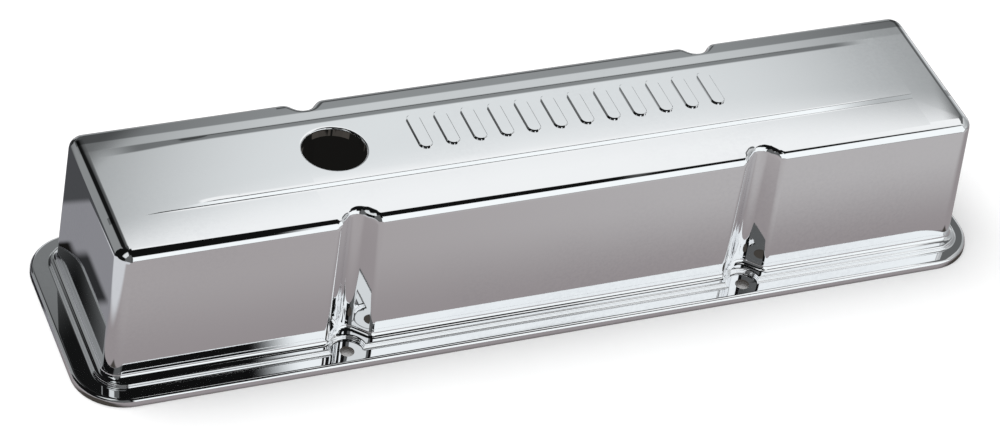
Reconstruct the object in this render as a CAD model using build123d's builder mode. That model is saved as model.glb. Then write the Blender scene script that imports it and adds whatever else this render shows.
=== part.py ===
from build123d import *
import math
import os

# Pressed-steel engine valve cover, one sheet of steel drawn in a press.
# Millimetres, +Z up. The cover stands on its gasket face (Z = 0), its length along X, and the origin
# is the middle of that face. The front is the -Y side, and the filler hole is towards -X.

# ---- driving dimensions -------------------------------------------------------------------------
sheet = 0.9               # thickness of the steel

flange_length = 469.4     # over the turned-down lip
flange_width = 120.6
flange_corner = 25.0      # corner radius of the flange, in plan
flange_top = 4.2          # height of the flange's flat, which is the depth of the lip
lip_bend = 2.0            # outer radius of the bend from flange to lip

step_inset_side = 8.4     # from the lip to the raised ledge, on the long sides
step_inset_end = 8.4      # the same at the ends
step_corner = 14.0        # corner radius of the ledge, in plan
step_rise = 2.4           # height of the ledge above the flange

ledge_side = 5.0          # width of the ledge in front of the long walls
ledge_end = 3.6           # the same at the ends
form_shift = 1.6          # ledge and walls stand this far towards +X from the middle of the flange
wall_height = 75.0        # from the ledge to the flat of the top
side_draft = 1.0          # lean of the long walls, in degrees
end_draft = 2.6           # lean of the end walls, in degrees
wall_corner = 7.6         # corner radius of the walls, in plan
top_edge_radius = 6.0     # rounding between walls and top
base_fillet = 2.5         # hollow rounding between walls and ledge

bolt_spacing_x = 207.6    # four perimeter bolts
bolt_edge = 8.3           # from the lip to the bolts' line
bolt_hole = 7.1           # clear hole for a 1/4 in bolt
bolt_pocket = 17.4        # diameter of the half-round seat that each bolt has in the ledge

notch_depth = 7.4         # from the front wall's top to the back of the upright groove over each bolt
rear_notch_depth = 6.6    # the same on the rear wall
notch_shift = 2.4         # the grooves stand this far towards +X from their bolts
notch_radius = 6.0        # radius of the groove's back
notch_flare = 45.0        # angle from the wall to the groove's flat flanks, in degrees
notch_rim = 4.4           # rounding of the groove's rim

panel_rise = 1.8          # height of the raised panel along the top
panel_width = 49.0        # between the feet of its two steps
panel_offset = 4.0        # the panel's middle line lies this far to the rear
panel_step = 1.6          # width of each step, in plan
panel_round = 1.3         # rounding at the crest and foot of the steps
panel_end = 30.0          # from the end walls' tops to the feet of the panel's end slopes, on average
panel_shift = -8.5        # the panel's run lies this far towards +X from the middle of the walls
panel_ramp = 30.0         # length of the end slopes, over which the steps fade

filler_hole = 31.0        # 1.22 in filler and breather hole
filler_x = -98.4
filler_collar = 5.0       # depth of the turned-down collar round the hole
filler_bend = 1.3         # outer radius of the bend into the collar

bar_count = 12            # row of embossed bars along the panel
bar_pitch = 13.9
bar_width = 7.0
bar_length = 25.0
bar_rise = 0.9
bar_bevel = 0.5           # bevel round the bars' crests
bar_row_x = 22.0          # middle of the row
bar_row_y = 7.0

# ---- worked out from them -----------------------------------------------------------------------
ledge_z = flange_top + step_rise
top_z = ledge_z + wall_height
panel_z = top_z + panel_rise
step_length = flange_length - 2 * step_inset_end
step_width = flange_width - 2 * step_inset_side
body_length = step_length - 2 * ledge_end
body_width = step_width - 2 * ledge_side
top_length = body_length - 2 * wall_height * math.tan(math.radians(end_draft))
top_width = body_width - 2 * wall_height * math.tan(math.radians(side_draft))
bolt_x = bolt_spacing_x / 2
bolt_y = flange_width / 2 - bolt_edge
bolt_points = [(x, y) for x in (-bolt_x, bolt_x) for y in (-bolt_y, bolt_y)]
notch_points = [(x + notch_shift, y) for x in (-bolt_x, bolt_x) for y in (-1, 1)]
step_round = 0.45 * step_rise
panel_half_run = top_length / 2 - panel_end
panel_x = form_shift + panel_shift
over = 5.0                # how far cutting shapes reach past the sheet


def flange_and_ledge(inset):
    """The flange block with its ledge and the bolts' half-round seats, a distance inside the outer face.

    The ledge's bends are so tight that their inner side is left sharp.
    """
    with BuildPart() as block:
        with BuildSketch(Plane.XY.offset(-inset)):
            RectangleRounded(flange_length - 2 * inset, flange_width - 2 * inset, flange_corner - inset)
        extrude(amount=flange_top)
        fillet(block.faces().sort_by(Axis.Z)[-1].edges(), radius=lip_bend - inset)
        with BuildSketch(Plane.XY.offset(flange_top - inset)):
            with Locations((form_shift, 0)):
                RectangleRounded(step_length - 2 * inset, step_width - 2 * inset, step_corner - inset)
            with Locations(*bolt_points):
                Circle(bolt_pocket / 2 + inset, mode=Mode.SUBTRACT)
        extrude(amount=step_rise)
        if inset == 0.0:
            foot = block.edges().filter_by_position(Axis.Z, flange_top - 0.01, flange_top + 0.01).filter_by(
                lambda e: abs(e.center().Y) < step_width / 2 + 1
                and abs(e.center().X - form_shift) < step_length / 2 + 1)
            fillet(foot, radius=step_round)
            fillet(block.faces().sort_by(Axis.Z)[-1].edges(), radius=step_round)
    return block.part


def notch_outline(depth, inset):
    """A groove's axis, and the right half of its outline from its back outwards, about that axis."""
    turn = math.radians(notch_flare)
    radius = notch_radius + inset
    centre = top_width / 2 - depth + notch_radius
    reach = flange_width / 2 - centre
    start = (0, -radius)
    tangent = (radius * math.sin(turn), -radius * math.cos(turn))
    flank = (tangent[0] + (reach - tangent[1]) / math.tan(turn), reach)
    return centre, [start, tangent, flank]


def wall_reach(base, draft, z, inset):
    """Half the distance between two opposite walls at a height, from their distance at the ledge."""
    return base / 2 - (z - ledge_z) * math.tan(math.radians(draft)) - inset


def walls_and_top(inset):
    """The drafted box of the walls with its rounded top edge and the four upright bolt grooves."""
    low = ledge_z - inset - over
    high = top_z - inset
    with BuildPart() as box:
        with BuildSketch(Plane.XZ):
            with BuildLine():
                foot = wall_reach(body_length, end_draft, low, inset)
                head = wall_reach(body_length, end_draft, high, inset)
                Polyline((form_shift - foot, low), (form_shift + foot, low),
                         (form_shift + head, high), (form_shift - head, high), close=True)
            make_face()
        extrude(amount=body_width, both=True)
        with BuildSketch(Plane.YZ):
            with BuildLine():
                foot = wall_reach(body_width, side_draft, low, inset)
                head = wall_reach(body_width, side_draft, high, inset)
                Polyline((-foot, low), (foot, low), (head, high), (-head, high), close=True)
            make_face()
        extrude(amount=body_length, both=True, mode=Mode.INTERSECT)
        uprights = box.edges().filter_by(lambda e: e.bounding_box().size.Z > wall_height)
        fillet(uprights, radius=wall_corner - inset)
        fillet(box.faces().sort_by(Axis.Z)[-1].edges(), radius=top_edge_radius - inset)
        with BuildSketch(Plane.XY.offset(ledge_z - inset - over)):
            for x, side in notch_points:
                centre, outline = notch_outline(notch_depth if side < 0 else rear_notch_depth, inset)
                with BuildLine(Plane.XY.offset(ledge_z - inset - over)):
                    flip = [(x + a, side * (centre + b)) for a, b in outline]
                    flop = [(x - a, side * (centre + b)) for a, b in outline]
                    ThreePointArc(flop[1], flip[0], flip[1])
                    Line(flip[1], flip[2])
                    Line(flip[2], flop[2])
                    Line(flop[2], flop[1])
                make_face()
        extrude(amount=wall_height + 2 * over, mode=Mode.SUBTRACT)
        seam = (notch_radius + inset) * math.sin(math.radians(notch_flare)) + 0.5
        rim = box.edges(Select.LAST).filter_by(
            lambda e: e.center().Z > top_z - inset - 0.01
            or (e.center().Z > ledge_z - inset - over + 0.01
                and min(abs(e.center().X - x) for x, _ in notch_points) > seam))
        fillet(rim, radius=notch_rim - inset)
    return box.part


def raised_panel(inset):
    """The panel along the top: a plateau with a step on each side, which slopes away at its ends."""
    floor = top_z - inset
    crest = floor + panel_rise
    half = panel_width / 2 - inset * math.tan(math.atan2(panel_rise, panel_step) / 2)
    margin = 2 * (panel_round + inset)
    with BuildPart() as panel:
        with BuildSketch(Plane.YZ.offset(panel_x)) as across:
            with BuildLine():
                Polyline((panel_offset - half - margin, floor - over),
                         (panel_offset - half - margin, floor),
                         (panel_offset - half, floor),
                         (panel_offset - half + panel_step, crest),
                         (panel_offset + half - panel_step, crest),
                         (panel_offset + half, floor),
                         (panel_offset + half + margin, floor),
                         (panel_offset + half + margin, floor - over),
                         close=True)
            make_face()
            inner = across.vertices().filter_by(lambda v: abs(v.X - panel_offset) < half + 0.1)
            fillet(inner.group_by(Axis.Y)[-1], radius=panel_round - inset)
            fillet(across.vertices().filter_by(lambda v: abs(abs(v.X - panel_offset) - half) < 0.01),
                   radius=panel_round + inset)
        extrude(amount=panel_half_run + panel_ramp / 2, both=True)
        with BuildSketch(Plane.XZ) as along:
            with BuildLine():
                Polyline((panel_x - panel_half_run - panel_ramp, floor - over),
                         (panel_x - panel_half_run - panel_ramp, floor),
                         (panel_x - panel_half_run, floor),
                         (panel_x - panel_half_run + panel_ramp, crest),
                         (panel_x + panel_half_run - panel_ramp, crest),
                         (panel_x + panel_half_run, floor),
                         (panel_x + panel_half_run + panel_ramp, floor),
                         (panel_x + panel_half_run + panel_ramp, floor - over),
                         close=True)
            make_face()
            bends = along.vertices().filter_by(lambda v: abs(v.X - panel_x) < panel_half_run + 0.01)
            fillet(bends, radius=0.96 * panel_ramp ** 2 / panel_rise)
        extrude(amount=top_width, both=True, mode=Mode.INTERSECT)
    return panel.part


def embossed_bars(inset):
    """The row of plain bars pressed up along the panel."""
    with BuildPart() as bars:
        with BuildSketch(Plane.XY.offset(panel_z - inset - over)):
            with Locations((bar_row_x, bar_row_y)):
                with GridLocations(bar_pitch, 0, bar_count, 1):
                    SlotOverall(bar_length - 2 * inset, bar_width - 2 * inset, rotation=90)
        extrude(amount=over + bar_rise)
        if bar_bevel > inset:
            chamfer(bars.edges().group_by(Axis.Z)[-1], length=bar_bevel)
    return bars.part


def cover_form(inset):
    """The whole cover as a solid block, a distance inside its outer face."""
    with BuildPart() as form:
        add(flange_and_ledge(inset))
        add(walls_and_top(inset))
        level = ledge_z - inset
        base = form.edges(Select.LAST).filter_by_position(Axis.Z, level - 0.01, level + 0.01)
        fillet(base, radius=base_fillet + inset)
        add(raised_panel(inset))
        add(embossed_bars(inset))
    return form.part


outer = cover_form(0.0)
inner = cover_form(sheet)

with BuildPart() as cover_shell:
    add(outer)
    add(inner, mode=Mode.SUBTRACT)
    # filler hole with its rim turned down into a short collar
    with BuildSketch(Plane.XY.offset(panel_z)):
        with Locations((filler_x, panel_offset)):
            Circle(filler_hole / 2 + sheet)
    extrude(amount=-filler_collar)
    with Locations((filler_x, panel_offset, panel_z)):
        Cylinder(filler_hole / 2, 4 * filler_collar, mode=Mode.SUBTRACT)
    on_panel = cover_shell.edges().filter_by_position(Axis.Z, panel_z - 0.01, panel_z + 0.01)
    circles = on_panel.filter_by(GeomType.CIRCLE)
    fillet(circles.filter_by(lambda e: abs(e.radius - filler_hole / 2) < 0.01), radius=filler_bend)
    # four bolt holes through the flange
    with Locations(*[(x, y, flange_top) for x, y in bolt_points]):
        Cylinder(bolt_hole / 2, 4 * sheet, mode=Mode.SUBTRACT)

cover_shell.part.label = "cover_shell"
os.makedirs("parts", exist_ok=True)
export_step(cover_shell.part, "parts/cover_shell.step")
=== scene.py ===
"""A pressed, chrome-plated engine valve cover, dressed and lit on a plain studio table."""

import logging
import math
from dataclasses import dataclass, field
from enum import Enum
from typing import Sequence

import bpy
from mathutils import Matrix

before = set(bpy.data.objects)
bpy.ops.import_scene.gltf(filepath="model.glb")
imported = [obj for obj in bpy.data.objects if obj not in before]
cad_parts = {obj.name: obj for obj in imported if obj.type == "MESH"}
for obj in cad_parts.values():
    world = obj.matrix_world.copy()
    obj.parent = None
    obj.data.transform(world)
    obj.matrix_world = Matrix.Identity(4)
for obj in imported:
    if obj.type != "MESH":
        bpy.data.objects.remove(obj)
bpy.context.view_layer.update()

logging.basicConfig(level=logging.INFO, format="%(name)s: %(message)s")
log = logging.getLogger("valve_cover")

Colour = tuple[float, float, float]
Point = tuple[float, float, float]
Span = tuple[float, float]
Socket = bpy.types.NodeSocket

LEFT, RIGHT = (-1, 0, 0), (1, 0, 0)
FRONT, REAR = (0, -1, 0), (0, 1, 0)
DOWN, UP = (0, 0, -1), (0, 0, 1)
WHITE = (1.0, 1.0, 1.0)


class Rays(Enum):
    """The kinds of ray that can tell a stage piece apart."""

    CAMERA = "Is Camera Ray"
    GLOSSY = "Is Glossy Ray"
    TRANSMISSION = "Is Transmission Ray"


class Hidden(Enum):
    """The switches that are off on a stage piece which only metal and glass show."""

    FROM_CAMERA = "visible_camera"
    FROM_DIFFUSE = "visible_diffuse"
    FROM_SHADOW = "visible_shadow"
    FROM_VOLUME = "visible_volume_scatter"


class MixSocket(Enum):
    """Where a Mix node keeps its factor, its two colours and, among its outputs, the blended one."""

    FACTOR = 0
    LOW_COLOUR = 6
    HIGH_COLOUR = 7
    BLENDED = 2


def rgba(colour: Colour, gain: float = 1.0) -> tuple[float, float, float, float]:
    """Give a colour an alpha.

    Args:
        colour: The colour.
        gain: What it is multiplied by.

    Returns:
        The colour times the gain, with full alpha.
    """
    return (colour[0] * gain, colour[1] * gain, colour[2] * gain, 1.0)


class Graph:
    """Short hand for building one node tree."""

    def __init__(self, tree: bpy.types.NodeTree) -> None:
        """Empty the tree and keep it.

        Args:
            tree: The node tree of a material, a world or a geometry modifier.
        """
        self.tree = tree
        tree.nodes.clear()

    def node(self, kind: str, **settings: object) -> bpy.types.Node:
        """Add a node.

        Args:
            kind: The node's type name.
            **settings: Properties set on it.

        Returns:
            The new node.
        """
        made = self.tree.nodes.new(kind)
        for name, value in settings.items():
            setattr(made, name, value)
        return made

    def put(self, socket: Socket, value: object) -> None:
        """Link an output to an input socket, or set the socket's own value.

        Args:
            socket: The input.
            value: An output socket, a number or a tuple.
        """
        if isinstance(value, Socket):
            self.tree.links.new(value, socket)
        else:
            socket.default_value = value

    def math(self, operation: str, *values: object) -> Socket:
        """Add a Math node.

        Args:
            operation: Its operation.
            *values: Its inputs in order, each an output socket or a number.

        Returns:
            Its output.
        """
        made = self.node("ShaderNodeMath", operation=operation)
        for socket, value in zip(made.inputs, values):
            self.put(socket, value)
        return made.outputs[0]

    def product(self, first: object, *others: object) -> Socket:
        """Multiply numbers.

        Args:
            first: The first of them, an output socket or a number.
            *others: The rest.

        Returns:
            Their product.
        """
        made = first
        for other in others:
            made = self.math("MULTIPLY", made, other)
        return made

    def smooth(self, value: object, low: float, high: float) -> Socket:
        """Rise smoothly from 0 to 1.

        Args:
            value: The number to test.
            low: Where the rise starts. It may be the larger one, for a fall.
            high: Where it ends.

        Returns:
            The mask: 0 on the low side and 1 on the high side.
        """
        made = self.node("ShaderNodeMapRange", interpolation_type="SMOOTHSTEP")
        self.put(made.inputs["Value"], value)
        if low <= high:
            ends = (low, high, 0.0, 1.0)
        else:
            ends = (high, low, 1.0, 0.0)
        for name, number in zip(("From Min", "From Max", "To Min", "To Max"), ends):
            made.inputs[name].default_value = number
        return made.outputs[0]

    def between(self, value: object, low: float, high: float) -> Socket:
        """Tell whether a number lies between two limits.

        Args:
            value: The number to test.
            low: The lower limit.
            high: The upper limit.

        Returns:
            The mask: 1 between the limits, else 0.
        """
        return self.product(self.math("GREATER_THAN", value, low), self.math("LESS_THAN", value, high))

    def mix(self, mask: object, low: object, high: object) -> Socket:
        """Blend two colours.

        Args:
            mask: 0 for the first, 1 for the second.
            low: The first colour.
            high: The second colour.

        Returns:
            The blended colour.
        """
        made = self.node("ShaderNodeMix", data_type="RGBA")
        self.put(made.inputs[MixSocket.FACTOR.value], mask)
        self.put(made.inputs[MixSocket.LOW_COLOUR.value], low)
        self.put(made.inputs[MixSocket.HIGH_COLOUR.value], high)
        return made.outputs[MixSocket.BLENDED.value]

    def dot(self, vector: object, way: Point) -> Socket:
        """Measure a vector along a fixed way.

        Args:
            vector: The vector.
            way: The way.

        Returns:
            The vector's reach along it.
        """
        made = self.node("ShaderNodeVectorMath", operation="DOT_PRODUCT")
        self.put(made.inputs[0], vector)
        made.inputs[1].default_value = way
        return made.outputs["Value"]

    def reflected(self) -> Socket:
        """Tell the rays that show this surface in metal or through glass.

        Returns:
            The mask: 1 for those rays, else 0.
        """
        path = self.node("ShaderNodeLightPath")
        return self.math(
            "MAXIMUM", path.outputs[Rays.GLOSSY.value], path.outputs[Rays.TRANSMISSION.value]
        )


@dataclass(frozen=True)
class Edge:
    """One straight soft edge on the studio's dome or table.

    Attributes:
        way: Vector that a place is measured along.
        start: Reach at which the patch starts to show.
        full: Reach from which it shows in full.
    """

    way: Point
    start: float
    full: float


@dataclass(frozen=True)
class Patch:
    """A patch of even brightness, bounded by soft edges.

    Attributes:
        brightness: Its brightness, where 1 is white.
        edges: Its edges; it shows inside all of them.
        tint: Its colour at brightness 1.
    """

    brightness: float
    edges: tuple[Edge, ...]
    tint: Colour = (0.962, 1.0, 1.012)


def paint(graph: Graph, place: Socket, base: Patch, patches: Sequence[Patch]) -> Socket:
    """Lay patches over a base colour, each over the ones before it.

    Args:
        graph: The tree to build in.
        place: The place or direction that the edges are measured on.
        base: The colour under all of them.
        patches: The patches in order.

    Returns:
        The colour that results.
    """
    colour: object = rgba(base.tint, base.brightness)
    for patch in patches:
        parts = [graph.smooth(graph.dot(place, edge.way), edge.start, edge.full) for edge in patch.edges]
        colour = graph.mix(graph.product(*parts), colour, rgba(patch.tint, patch.brightness))
    return colour


@dataclass(frozen=True)
class PaintedDarkBand:
    """A band along the top in which a dark reflection is painted into the plate's colour, from some distance
    behind the middle on.

    Attributes:
        rise: Distances over which it sets in.
        depth: How far the plate is painted in the dark colour in it.
    """

    rise: Span
    depth: float


@dataclass(frozen=True)
class PanelSheen:
    """How the sheet mirrors along the top's raised panel.

    Its end slopes are so long and shallow that they mirror as if they were level, and the crest and foot of
    its front step are pressed sharper than their roundings are meshed. Behind it, dark reflections are
    painted into the plate's colour on the rear step, the strip that follows and the top's rear edge, and the
    front step is painted darker where it runs out.

    Attributes:
        middle: Middle of the panel, in plan, in metres.
        slopes: Distances along, from the middle, between which the end slopes lie.
        floor: Height that only the top of the cover lies above.
        steepest: Upright part of the normal below which the sheet isn't a slope.
        crest: Distances across from the middle between which the side steps' crest starts.
        foot: The same for the end of their foot.
        fade: Distances along over which the side steps fade out on the slopes.
        front: Distances across, from the middle to the front, between which the front step lies.
        sharper: How many times steeper the front step mirrors.
        painted_dark_colour: The colour painted into the plate where its painted dark reflections are
            darkest.
        run_out: Distances along over which the front step is painted darker as it runs out.
        run_out_painted_depth: How far the front step is painted in the dark colour from there on.
        rear_step: The painted dark reflection line at the rear step.
        rear_step_end: Distances behind the middle over which that line ends.
        rear_step_run: Distances along over which it sets in from the ends.
        rear_bands: The painted dark reflection bands behind it.
    """

    middle: Span = (-0.0069, 0.004)
    slopes: Span = (0.1085, 0.2045)
    floor: float = 0.0805
    steepest: float = 0.97
    crest: Span = (0.0225, 0.0205)
    foot: Span = (0.0248, 0.0260)
    fade: Span = (0.140, 0.188)
    front: Span = (0.0216, 0.0262)
    sharper: float = 1.9
    painted_dark_colour: Colour = (0.24, 0.245, 0.25)
    run_out: Span = (0.150, 0.190)
    run_out_painted_depth: float = 0.70
    rear_step: PaintedDarkBand = PaintedDarkBand((0.0192, 0.0205), 0.93)
    rear_step_end: Span = (0.0262, 0.0245)
    rear_step_run: Span = (0.202, 0.180)
    rear_bands: tuple[PaintedDarkBand, ...] = (PaintedDarkBand((0.0240, 0.0260), 0.25), PaintedDarkBand((0.0300, 0.0315), 0.86))

    def mirror(self, graph: Graph, place: object) -> tuple[Socket, Socket]:
        """Build how the sheet mirrors, and where dark reflections are painted into its colour.

        Args:
            graph: The material's tree.
            place: The place on the cover.

        Returns:
            The normal, and how far the colour is painted in the dark reflections' colour.
        """
        at = graph.node("ShaderNodeSeparateXYZ")
        graph.put(at.inputs[0], place)
        normal = graph.node("ShaderNodeNewGeometry").outputs["Normal"]
        on_top = graph.math("GREATER_THAN", at.outputs[2], self.floor)
        along = graph.math("ABSOLUTE", graph.math("SUBTRACT", at.outputs[0], self.middle[0]))
        forward = graph.math("SUBTRACT", self.middle[1], at.outputs[1])
        shallow = graph.math("GREATER_THAN", graph.dot(normal, UP), self.steepest)
        slope = graph.product(graph.between(along, *self.slopes), shallow, on_top)
        front_step = graph.product(graph.between(forward, *self.front), on_top)
        turned = graph.node("ShaderNodeVectorMath", operation="MULTIPLY")
        graph.put(turned.inputs[0], normal)
        graph.put(turned.inputs[1], self.lean(graph, along, forward, slope, front_step))
        made = graph.node("ShaderNodeVectorMath", operation="NORMALIZE")
        graph.put(made.inputs[0], turned.outputs[0])
        steep = graph.product(front_step, graph.math("SUBTRACT", 1.0, shallow))
        # painted dark reflections: the front step where it runs out, and the bands behind the panel
        front_painted_dark = graph.product(steep, graph.smooth(along, *self.run_out), self.run_out_painted_depth)
        rear_painted_dark = graph.product(self.rear(graph, along, forward), on_top)
        return made.outputs[0], graph.math("MAXIMUM", front_painted_dark, rear_painted_dark)

    def lean(
        self, graph: Graph, along: Socket, forward: Socket, slope: Socket, front_step: Socket
    ) -> Socket:
        """Build what the normal is multiplied by: level on the slopes, and steeper on the front step.

        Args:
            graph: The material's tree.
            along: Distance along from the middle.
            forward: Distance from the middle to the front.
            slope: Mask of the end slopes.
            front_step: Mask of the front step.

        Returns:
            The factors along, across and up.
        """
        across = graph.math("ABSOLUTE", forward)
        off_step = graph.math("MAXIMUM", graph.smooth(across, *self.crest), graph.smooth(across, *self.foot))
        off_step = graph.math("MAXIMUM", off_step, graph.smooth(along, *self.fade))
        kept = graph.math("SUBTRACT", 1.0, graph.product(slope, off_step))
        steeper = graph.math("MULTIPLY_ADD", front_step, self.sharper - 1.0, 1.0)
        factors = graph.node("ShaderNodeCombineXYZ")
        graph.put(factors.inputs[0], graph.math("SUBTRACT", 1.0, slope))
        graph.put(factors.inputs[1], graph.product(kept, steeper))
        graph.put(factors.inputs[2], 1.0)
        return factors.outputs[0]

    def rear(self, graph: Graph, along: Socket, forward: Socket) -> Socket:
        """Build the dark reflections painted into the plate's colour behind the panel.

        Args:
            graph: The material's tree.
            along: Distance along from the middle.
            forward: Distance from the middle to the front.

        Returns:
            How far the colour is painted in the dark reflections' colour.
        """
        behind = graph.product(forward, -1.0)
        # painted dark reflections: the rear step's line, then the bands behind it
        dark = graph.product(
            graph.smooth(behind, *self.rear_step.rise),
            graph.smooth(behind, *self.rear_step_end),
            graph.smooth(along, *self.rear_step_run),
            self.rear_step.depth,
        )
        for band in self.rear_bands:
            dark = graph.math("MAXIMUM", dark, graph.product(graph.smooth(behind, *band.rise), band.depth))
        return dark


@dataclass(frozen=True)
class Grain:
    """One noise texture.

    Attributes:
        scale: How finely it is laid out, in features to the metre.
        detail: How many finer copies of itself it holds.
        rough: How strong those are.
    """

    scale: float
    detail: float
    rough: float

    def build(self, graph: Graph, place: object) -> Socket:
        """Add the texture.

        Args:
            graph: The material's tree.
            place: The place that it is laid out on.

        Returns:
            Its value.
        """
        made = graph.node("ShaderNodeTexNoise")
        graph.put(made.inputs["Vector"], place)
        made.inputs["Scale"].default_value = self.scale
        made.inputs["Detail"].default_value = self.detail
        made.inputs["Roughness"].default_value = self.rough
        return made.outputs[0]


@dataclass(frozen=True)
class ChromePlate:
    """Bright chrome plate over pressed steel.

    Attributes:
        name: The material's name.
        colour: The plate's colour face on.
        haze: Colour of the thinnest polishing haze in the plate.
        roughness: Lowest roughness of the plate.
        haze_roughness: Extra roughness where the plate is hazy.
        cloud: Noise of the haze's clouds.
        grain: Noise of the grain in it.
        speck: The finest noise.
        hazy_cloud: Values of the clouds' noise over which the haze sets in.
        hazy_grain: The same for the grain's noise.
        sheet_wave: Noise of the sheet's slow press waves.
        press_wave: Height of these waves, in metres.
        polish_wave: Height of the plate's fine ripple, in metres.
        panel: How it mirrors along the top's panel, with dark reflections painted into its colour there.
    """

    name: str = "chrome_plate"
    colour: Colour = (0.90, 0.905, 0.915)
    haze: Colour = (0.84, 0.845, 0.86)
    roughness: float = 0.018
    haze_roughness: float = 0.03
    cloud: Grain = Grain(9.0, 3.0, 0.55)
    grain: Grain = Grain(520.0, 4.0, 0.6)
    speck: Grain = Grain(2400.0, 2.0, 0.5)
    hazy_cloud: Span = (0.38, 0.72)
    hazy_grain: Span = (0.3, 0.75)
    sheet_wave: Grain = Grain(14.0, 2.0, 0.4)
    press_wave: float = 0.00002
    polish_wave: float = 0.0000012
    panel: PanelSheen = PanelSheen()

    def build(self) -> bpy.types.Material:
        """Build the plate's material.

        Returns:
            The material.
        """
        material = bpy.data.materials.new(self.name)
        material.use_nodes = True
        graph = Graph(material.node_tree)
        place = graph.node("ShaderNodeTexCoord").outputs["Object"]
        cloud = self.cloud.build(graph, place)
        grain = self.grain.build(graph, place)
        speck = self.speck.build(graph, place)
        shader = graph.node("ShaderNodeBsdfPrincipled")
        shader.inputs["Metallic"].default_value = 1.0
        hazy = graph.product(graph.smooth(cloud, *self.hazy_cloud), graph.smooth(grain, *self.hazy_grain))
        # the panel's shading normal, and the mask of the dark reflections painted into the plate's colour
        level, painted_dark_mask = self.panel.mirror(graph, place)
        colour = graph.mix(hazy, rgba(self.colour), rgba(self.haze))
        graph.put(shader.inputs["Base Color"], graph.mix(painted_dark_mask, colour, rgba(self.panel.painted_dark_colour)))
        rough = graph.math("MULTIPLY_ADD", hazy, self.haze_roughness, self.roughness)
        graph.put(shader.inputs["Roughness"], rough)
        wave = self.bump(graph, self.sheet_wave.build(graph, place), self.press_wave, level)
        ripple = self.bump(graph, graph.math("ADD", grain, speck), self.polish_wave, wave)
        graph.put(shader.inputs["Normal"], ripple)
        out = graph.node("ShaderNodeOutputMaterial")
        graph.put(out.inputs["Surface"], shader.outputs["BSDF"])
        return material

    @staticmethod
    def bump(graph: Graph, height: object, distance: float, under: object) -> Socket:
        """Add a bump over another normal.

        Args:
            graph: The material's tree.
            height: The bump's height, from 0 to 1.
            distance: What a height of 1 stands for, in metres.
            under: The normal under it.

        Returns:
            The normal that results.
        """
        made = graph.node("ShaderNodeBump")
        made.inputs["Strength"].default_value = 1.0
        made.inputs["Distance"].default_value = distance
        graph.put(made.inputs["Height"], height)
        graph.put(made.inputs["Normal"], under)
        return made.outputs["Normal"]


@dataclass
class PressedCover:
    """The one-piece cover: its shape is the CAD node's, dressed with smooth shading and chrome plate.

    Attributes:
        node: Name of the CAD node.
        weld: Distance within which the triangles' corners are one, in metres.
        crease: Angle past which an edge stays sharp, in degrees.
        even_weight: Weight at which the faces' areas alone turn the corners' normals.
        plate: The finish.
    """

    node: str = "cover_shell"
    weld: float = 0.000002
    crease: float = 32.0
    even_weight: int = 50
    plate: ChromePlate = field(default_factory=ChromePlate)

    def build(self) -> bpy.types.Object:
        """Shade and plate the cover.

        Returns:
            The cover's object.
        """
        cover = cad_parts[self.node]
        self.smooth(cover)
        self.dress(cover)
        return cover

    def smooth(self, cover: bpy.types.Object) -> None:
        """Join the loose triangles and shade them as the smooth sheet that they stand for.

        Args:
            cover: The cover's object.
        """
        weld = cover.modifiers.new("weld", "WELD")
        weld.merge_threshold = self.weld
        shade = cover.modifiers.new("shade", "NODES")
        shade.node_group = self.shading_group()
        weigh = cover.modifiers.new("weigh", "WEIGHTED_NORMAL")
        weigh.mode = "FACE_AREA"
        weigh.weight = self.even_weight
        weigh.keep_sharp = True

    def shading_group(self) -> bpy.types.NodeTree:
        """Build geometry nodes that shade smooth and leave only edges past the crease angle sharp.

        Returns:
            The node group.
        """
        group = bpy.data.node_groups.new("smooth_sheet", "GeometryNodeTree")
        for side in ("INPUT", "OUTPUT"):
            group.interface.new_socket("Geometry", in_out=side, socket_type="NodeSocketGeometry")
        graph = Graph(group)
        start = graph.node("NodeGroupInput")
        drop = graph.node("GeometryNodeRemoveAttribute")
        drop.inputs["Name"].default_value = "custom_normal"
        graph.put(drop.inputs[0], start.outputs[0])
        faces = graph.node("GeometryNodeSetShadeSmooth", domain="FACE")
        graph.put(faces.inputs[0], drop.outputs[0])
        faces.inputs["Shade Smooth"].default_value = True
        angle = graph.node("GeometryNodeInputMeshEdgeAngle")
        flat = graph.node("FunctionNodeCompare", data_type="FLOAT", operation="LESS_THAN")
        graph.put(flat.inputs[0], angle.outputs["Unsigned Angle"])
        flat.inputs[1].default_value = math.radians(self.crease)
        edges = graph.node("GeometryNodeSetShadeSmooth", domain="EDGE")
        graph.put(edges.inputs[0], faces.outputs[0])
        graph.put(edges.inputs["Shade Smooth"], flat.outputs[0])
        end = graph.node("NodeGroupOutput")
        graph.put(end.inputs[0], edges.outputs[0])
        return group

    def dress(self, cover: bpy.types.Object) -> None:
        """Give every material slot of the cover the chrome plate.

        Args:
            cover: The cover's object.
        """
        material = self.plate.build()
        for slot in cover.material_slots:
            slot.material = material
        log.info("cover dressed: %d faces, %s", len(cover.data.polygons), material.name)


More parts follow.
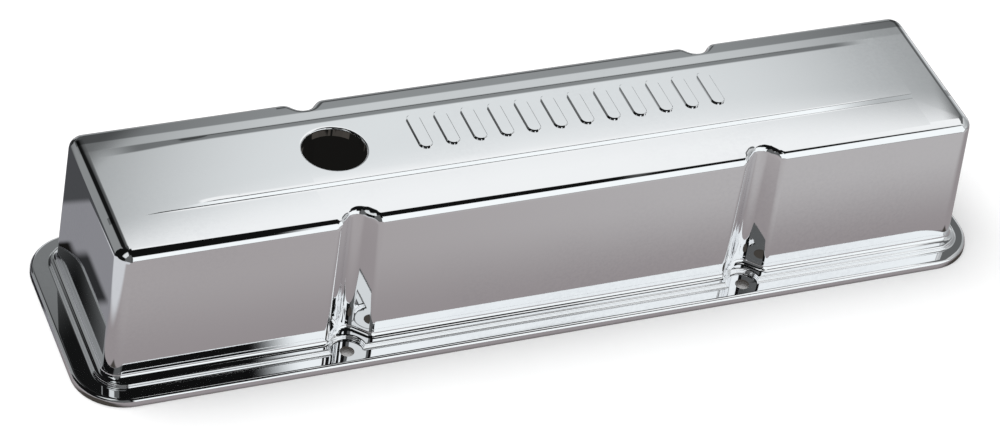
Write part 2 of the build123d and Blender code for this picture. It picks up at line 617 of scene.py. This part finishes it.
@dataclass
class StudioDome:
    """The soft tent over the table, which only the metal shows.

    The patches' edges are measured on the direction from the dome's middle.

    Attributes:
        radius: Its radius, in metres.
        segments: Its faces round.
        rings: The whole ball's faces from pole to pole.
        rim_height: Height of its open rim over the table.
        base: Brightness where no patch lies.
        patches: Its soft boxes and dark flags.
    """

    radius: float = 0.5
    segments: int = 96
    rings: int = 48
    rim_height: float = 0.0005
    base: Patch = Patch(0.356, ())
    patches: tuple[Patch, ...] = (
        # rear wall of the tent, from its dim foot up to the bright ceiling, and its right side
        Patch(0.82, (Edge(DOWN, -0.45, -0.12), Edge(REAR, 0.1, 0.3))),
        Patch(0.798, (Edge((0.3, 0.529, 1), 0.947, 1.131),)),
        Patch(0.976, (Edge((0.089, -0.562, 1), 0.393, 0.463),), (0.985, 1.0, 1.006)),
        Patch(0.42, (Edge(RIGHT, 0.75, 0.96), Edge(UP, 0.10, 0.35))),
        # dim seams of the tent, behind and at the right end
        Patch(0.20, (Edge((-0.25, 0, -1), -0.665, -0.640), Edge(UP, 0.36, 0.42), Edge(REAR, 0.3, 0.4))),
        Patch(0.13, (Edge(RIGHT, 0.725, 0.745), Edge(LEFT, -0.86, -0.82), Edge(REAR, -0.35, -0.2))),
        # the left end: dark flags, a dim screen behind them, and a dark foot
        Patch(0.085, (Edge(LEFT, 0.220, 0.255), Edge(FRONT, -0.74, -0.60))),
        Patch(0.008, (Edge(LEFT, 0.33, 0.45), Edge(FRONT, -0.64, -0.57))),
        Patch(0.28, (Edge(LEFT, 0.66, 0.72),)),
        Patch(0.02, (Edge(LEFT, 0.5, 0.6), Edge(DOWN, -0.36, -0.30), Edge(REAR, 0.50, 0.56))),
        # the dark gap towards the front, between the ceiling and the front soft box
        Patch(0.006, (Edge((-0.5, -1, 0), 0.08, 0.13), Edge(LEFT, -0.42, -0.36))),
        Patch(0.006, (Edge(FRONT, 0.34, 0.40), Edge(RIGHT, 0.34, 0.40))),
        # what the foot of the right-hand front groove mirrors
        Patch(0.12, (Edge(FRONT, 0.48, 0.53), Edge(LEFT, 0.36, 0.42))),
        # the long front soft box, which reaches higher on the right, and a small one at the left
        Patch(1.05, (Edge(FRONT, 0.35, 0.45), Edge(DOWN, -0.59, -0.54), Edge(RIGHT, -0.35, -0.25))),
        Patch(1.05, (
            Edge(FRONT, 0.45, 0.50), Edge((-0.25, 0, -1), -0.765, -0.745), Edge(RIGHT, -0.05, 0.02))),
        Patch(0.80, (
            Edge(LEFT, 0.55, 0.62), Edge(FRONT, 0.20, 0.28), Edge(REAR, -0.52, -0.47),
            Edge(UP, 0.40, 0.46))),
        # the dark line where the tent meets the table in front
        Patch(0.08, (Edge(DOWN, -0.05, -0.02), Edge(FRONT, 0.0, 0.1))),
    )

    def build(self) -> bpy.types.Object:
        """Build the dome.

        Returns:
            The dome's object, which is part of the stage.
        """
        bpy.ops.object.select_all(action="DESELECT")
        bpy.ops.mesh.primitive_uv_sphere_add(
            segments=self.segments, ring_count=self.rings, radius=self.radius
        )
        dome = bpy.context.object
        dome.name = "studio_dome"
        bpy.ops.object.mode_set(mode="EDIT")
        bpy.ops.mesh.select_all(action="SELECT")
        bpy.ops.mesh.bisect(plane_co=(0, 0, self.rim_height), plane_no=UP, clear_inner=True)
        bpy.ops.mesh.select_all(action="SELECT")
        bpy.ops.mesh.flip_normals()
        bpy.ops.object.mode_set(mode="OBJECT")
        dome.data.materials.append(self.material())
        show_in_metal_only(dome)
        log.info("dome of %.2f m with %d patches", self.radius, len(self.patches))
        return dome

    def material(self) -> bpy.types.Material:
        """Build the dome's glowing material, painted by direction from the dome's middle.

        Returns:
            The material.
        """
        material = bpy.data.materials.new("tent_cloth")
        material.use_nodes = True
        graph = Graph(material.node_tree)
        place = graph.node("ShaderNodeVectorMath", operation="NORMALIZE")
        graph.put(place.inputs[0], graph.node("ShaderNodeTexCoord").outputs["Object"])
        glow = graph.node("ShaderNodeEmission")
        graph.put(glow.inputs["Color"], paint(graph, place.outputs[0], self.base, self.patches))
        out = graph.node("ShaderNodeOutputMaterial")
        graph.put(out.inputs["Surface"], glow.outputs[0])
        material.cycles.emission_sampling = "NONE"
        return material


@dataclass
class StudioTable:
    """The pale table top: white by itself, mid grey where the metal shows it.

    The patches' edges are measured in metres on the table.

    Attributes:
        size: Its side, in metres.
        colour: Its own colour.
        base: How it looks in the metal.
        patches: What else the metal shows on it, which is painted light and shade.
    """

    size: float = 12.0
    colour: Colour = (0.93, 0.93, 0.93)
    base: Patch = Patch(0.38, (), (1.05, 0.985, 1.0))
    patches: tuple[Patch, ...] = (
        # painted light and shade: paler to the right, a painted shadow beside the cover, and painted light
        # and shade round its left end
        Patch(0.48, (Edge(RIGHT, -0.12, 0.20),), (1.02, 0.99, 1.0)),
        Patch(0.30, (Edge(REAR, -0.120, -0.060),), (1.07, 0.98, 1.005)),
        Patch(0.26, (Edge(LEFT, 0.215, 0.225), Edge(REAR, -0.030, 0.004)), (0.99, 0.99, 1.07)),
        Patch(0.66, (Edge(LEFT, 0.262, 0.285),), (0.97, 0.99, 1.03)),
        Patch(0.07, (Edge(LEFT, 0.225, 0.232), Edge(REAR, 0.086, 0.092)), (0.95, 0.98, 1.05)),
        # the shade beside the left end's lip
        Patch(0.028, (
            Edge(LEFT, 0.20, 0.202), Edge(RIGHT, -0.242, -0.239),
            Edge(REAR, 0.010, 0.018), Edge(FRONT, -0.055, -0.046)), (0.95, 0.98, 1.05)),
        # painted shade under the cover, and a lighter, brownish painted reflection under its front half,
        # which the filler hole's collar mirrors
        Patch(0.008, (
            Edge(RIGHT, -0.236, -0.232), Edge(LEFT, -0.236, -0.232),
            Edge(REAR, -0.062, -0.058), Edge(FRONT, -0.062, -0.058)), (1.05, 1.0, 0.92)),
        Patch(0.055, (
            Edge(RIGHT, -0.236, -0.232), Edge(LEFT, -0.236, -0.232),
            Edge(FRONT, 0.014, 0.020), Edge(REAR, -0.062, -0.058)), (1.12, 1.0, 0.88)),
    )

    def build(self) -> bpy.types.Object:
        """Build the table top.

        Returns:
            Its object, which is part of the stage.
        """
        bpy.ops.object.select_all(action="DESELECT")
        bpy.ops.mesh.primitive_plane_add(size=self.size)
        table = bpy.context.object
        table.name = "table_top"
        table.data.materials.append(self.material())
        log.info("table top of %.0f m", self.size)
        return table

    def material(self) -> bpy.types.Material:
        """Build the table's material.

        Returns:
            The material.
        """
        material = bpy.data.materials.new("table_white")
        material.use_nodes = True
        graph = Graph(material.node_tree)
        place = graph.node("ShaderNodeTexCoord").outputs["Object"]
        own = graph.node("ShaderNodeBsdfDiffuse")
        own.inputs["Color"].default_value = rgba(self.colour)
        shown = graph.node("ShaderNodeEmission")
        graph.put(shown.inputs["Color"], paint(graph, place, self.base, self.patches))
        choose = graph.node("ShaderNodeMixShader")
        graph.put(choose.inputs[0], graph.reflected())
        graph.put(choose.inputs[1], own.outputs[0])
        graph.put(choose.inputs[2], shown.outputs[0])
        out = graph.node("ShaderNodeOutputMaterial")
        graph.put(out.inputs["Surface"], choose.outputs[0])
        material.cycles.emission_sampling = "NONE"
        return material


def show_in_metal_only(piece: bpy.types.Object) -> None:
    """Hide a stage piece from every ray but those that metal or glass sends.

    Args:
        piece: The piece.
    """
    for switch in Hidden:
        setattr(piece, switch.value, False)


@dataclass
class StudioLight:
    """Plain soft light: an even sky, and one wide lamp overhead.

    Attributes:
        sky: Strength of the sky on the table.
        lamp_power: Power of the lamp, in watts.
        lamp_size: Its side, in metres.
        lamp_place: Its middle, in metres.
    """

    sky: float = 0.78
    lamp_power: float = 30.0
    lamp_size: float = 1.6
    lamp_place: Point = (-0.5, 0.5, 2.0)

    def build(self) -> None:
        """Build the world and the lamp."""
        self.build_sky()
        self.build_lamp()
        log.info("sky %.2f, lamp %.0f W", self.sky, self.lamp_power)

    def build_sky(self) -> None:
        """Build the world: pure white to the camera, and the sky's strength to all else."""
        world = bpy.data.worlds.new("studio_sky")
        world.use_nodes = True
        graph = Graph(world.node_tree)
        path = graph.node("ShaderNodeLightPath")
        even = graph.node("ShaderNodeBackground")
        even.inputs["Strength"].default_value = self.sky
        even.inputs["Color"].default_value = rgba(WHITE)
        white = graph.node("ShaderNodeBackground")
        white.inputs["Color"].default_value = rgba(WHITE)
        choose = graph.node("ShaderNodeMixShader")
        graph.put(choose.inputs[0], path.outputs[Rays.CAMERA.value])
        graph.put(choose.inputs[1], even.outputs[0])
        graph.put(choose.inputs[2], white.outputs[0])
        out = graph.node("ShaderNodeOutputWorld")
        graph.put(out.inputs["Surface"], choose.outputs[0])
        bpy.context.scene.world = world

    def build_lamp(self) -> None:
        """Build the lamp, turned to the middle of the table."""
        lamp = bpy.data.lights.new("overhead_lamp", "AREA")
        lamp.energy = self.lamp_power
        lamp.size = self.lamp_size
        holder = bpy.data.objects.new("overhead_lamp", lamp)
        bpy.context.scene.collection.objects.link(holder)
        holder.location = self.lamp_place
        x, y, z = self.lamp_place
        holder.rotation_euler = (math.atan2(math.hypot(x, y), z), 0.0, math.atan2(x, -y))
        holder.visible_glossy = False


@dataclass
class StudioCamera:
    """The camera, in the table's frame.

    Attributes:
        place: Where it stands, in metres.
        yaw: Turn to the right of +Y, in radians.
        pitch: Tilt down, in radians.
        roll: Turn about its own axis, in radians.
        lens: Focal length, in millimetres.
        sensor: Width of the picture behind the lens, in millimetres.
        nearest: Distance from which it sees, in metres.
    """

    place: Point = (-0.576942, -1.153175, 1.114538)
    yaw: float = 0.458
    pitch: float = 0.703
    roll: float = 0.151
    lens: float = 123.352
    sensor: float = 36.0
    nearest: float = 0.01

    def build(self) -> bpy.types.Object:
        """Build the camera and make it the scene's.

        Returns:
            The camera's object.
        """
        data = bpy.data.cameras.new("studio_camera")
        data.sensor_width = self.sensor
        data.lens = self.lens
        data.clip_start = self.nearest
        camera = bpy.data.objects.new("studio_camera", data)
        bpy.context.scene.collection.objects.link(camera)
        turn = Matrix.Rotation(-self.yaw, 4, "Z")
        tilt = Matrix.Rotation(math.radians(90.0) - self.pitch, 4, "X")
        spin = Matrix.Rotation(self.roll, 4, "Z")
        camera.matrix_world = Matrix.Translation(self.place) @ turn @ tilt @ spin
        bpy.context.scene.camera = camera
        log.info("camera at %s", self.place)
        return camera


def main() -> None:
    """Build the cover, the stage, the light and the camera, in that order."""
    PressedCover().build()
    StudioDome().build()
    StudioTable().build()
    StudioLight().build()
    StudioCamera().build()
    bpy.context.scene.view_settings.view_transform = "Standard"


if __name__ == "__main__":
    main()
